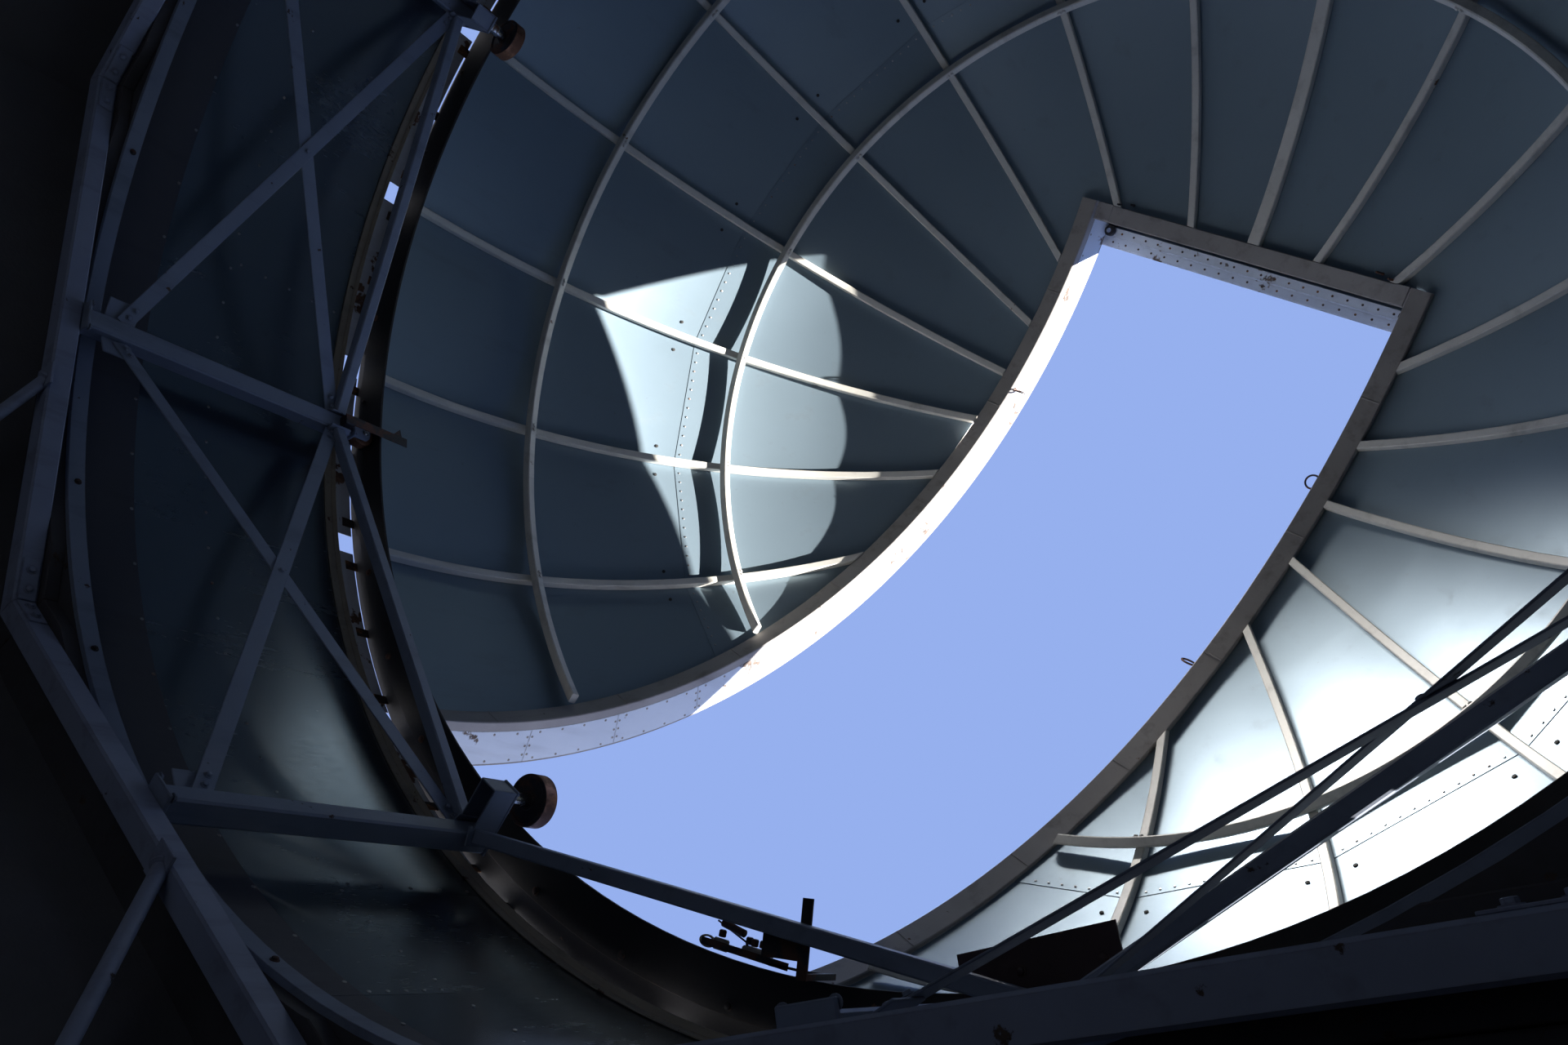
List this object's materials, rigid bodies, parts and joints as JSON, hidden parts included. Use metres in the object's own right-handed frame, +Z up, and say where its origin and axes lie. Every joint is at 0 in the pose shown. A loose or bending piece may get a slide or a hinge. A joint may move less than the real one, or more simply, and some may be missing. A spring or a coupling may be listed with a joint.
{
  "type": "observatory dome",
  "caption": "Turning hemispherical metal dome with a shuttered slit, on a fixed round drum and an octagonal masonry building.",
  "frame": {"origin": "centre of the building on the ground", "axes": "+Z up, -Y towards the foot of the slit as parked, +X to the right seen from the front"},
  "size_m": [6.8, 6.8, 7.756],
  "materials": {
    "masonry": "rendered masonry, painted off-white",
    "door_paint": "grey paint, satin",
    "deck_paint": "white paint with rust stains",
    "beam_paint": "dark grey paint, worn",
    "frame_paint": "grey-blue paint",
    "galvanised": "dull galvanised sheet",
    "ring_steel": "near-black paint, rusty edges",
    "dome_sheet": "satin bare sheet with a blue-grey sheen",
    "rib_paint": "off-white paint",
    "rim_paint": "weathered grey paint with rust",
    "roller_tread": "steel with a rusty tread"
  },
  "bodies": {
    "building": {"wall_front": "masonry", "wall_left": "masonry", "wall_right": "masonry", "door_wall_left": "masonry", "door_wall_right": "masonry", "door_lintel": "masonry", "door_frame": "door_paint", "door_leaf": "door_paint", "roof_deck": "deck_paint", "octagon_beam": "beam_paint", "drum_sill_ring": "frame_paint", "drum_top_ring": "galvanised", "drum_wall_rear_right": "galvanised", "drum_wall_rear_left": "galvanised", "drum_wall_front_left": "galvanised", "drum_wall_front_right": "galvanised", "drum_frame_1": "frame_paint", "drum_frame_2": "frame_paint", "drum_frame_3": "frame_paint", "drum_frame_4": "frame_paint", "drum_frame_5": "frame_paint", "drum_frame_6": "frame_paint", "drum_frame_7": "frame_paint", "drum_frame_8": "frame_paint"},
    "dome": {"base_ring": "ring_steel", "shell_rear_right": "dome_sheet", "shell_rear_left": "dome_sheet", "shell_front_left": "dome_sheet", "shell_front_right": "dome_sheet", "rib_cage_left": "rib_paint", "rib_cage_right": "rib_paint", "slit_arch_right": "rim_paint", "slit_arch_left": "rim_paint", "slit_end_frame": "rim_paint"},
    "lower_shutter": {"lower_shutter": "dome_sheet"},
    "upper_shutter": {"upper_shutter": "dome_sheet"},
    "guide_roller_1": {"guide_roller_1": "roller_tread"},
    "support_wheel_1": {"support_wheel_1": "roller_tread"},
    "guide_roller_2": {"guide_roller_2": "roller_tread"},
    "support_wheel_2": {"support_wheel_2": "roller_tread"},
    "guide_roller_3": {"guide_roller_3": "roller_tread"},
    "support_wheel_3": {"support_wheel_3": "roller_tread"},
    "guide_roller_4": {"guide_roller_4": "roller_tread"},
    "support_wheel_4": {"support_wheel_4": "roller_tread"}
  },
  "joints": [
    {"name": "dome_turn", "type": "hinge", "parent": "building", "child": "dome", "pos_m": [0, 0, 4.7], "axis": [0, 0, 1], "continuous": true},
    {"name": "lower_shutter_travel", "type": "hinge", "parent": "dome", "child": "lower_shutter", "pos_m": [0, 0, 4.7], "axis": [1, 0, 0], "range_deg": [0, 107.5]},
    {"name": "upper_shutter_travel", "type": "hinge", "parent": "dome", "child": "upper_shutter", "pos_m": [0, 0, 4.7], "axis": [1, 0, 0], "range_deg": [0, 56.3]},
    {"name": "guide_roller_1_spin", "type": "hinge", "parent": "building", "child": "guide_roller_1", "pos_m": [2.68089, 0, 4.706], "axis": [0, 0, 1], "continuous": true},
    {"name": "guide_roller_2_spin", "type": "hinge", "parent": "building", "child": "guide_roller_2", "pos_m": [0, 2.68089, 4.706], "axis": [0, 0, 1], "continuous": true},
    {"name": "guide_roller_3_spin", "type": "hinge", "parent": "building", "child": "guide_roller_3", "pos_m": [-2.68089, 0, 4.706], "axis": [0, 0, 1], "continuous": true},
    {"name": "guide_roller_4_spin", "type": "hinge", "parent": "building", "child": "guide_roller_4", "pos_m": [0, -2.68089, 4.706], "axis": [0, 0, 1], "continuous": true},
    {"name": "support_wheel_1_spin", "type": "hinge", "parent": "building", "child": "support_wheel_1", "pos_m": [2.01525, 2.01525, 4.6447], "axis": [0.7071, 0.7071, 0], "continuous": true},
    {"name": "support_wheel_2_spin", "type": "hinge", "parent": "building", "child": "support_wheel_2", "pos_m": [-2.01525, 2.01525, 4.6447], "axis": [-0.7071, 0.7071, 0], "continuous": true},
    {"name": "support_wheel_3_spin", "type": "hinge", "parent": "building", "child": "support_wheel_3", "pos_m": [-2.01525, -2.01525, 4.6447], "axis": [-0.7071, -0.7071, 0], "continuous": true},
    {"name": "support_wheel_4_spin", "type": "hinge", "parent": "building", "child": "support_wheel_4", "pos_m": [2.01525, -2.01525, 4.6447], "axis": [0.7071, -0.7071, 0], "continuous": true}
  ]
}
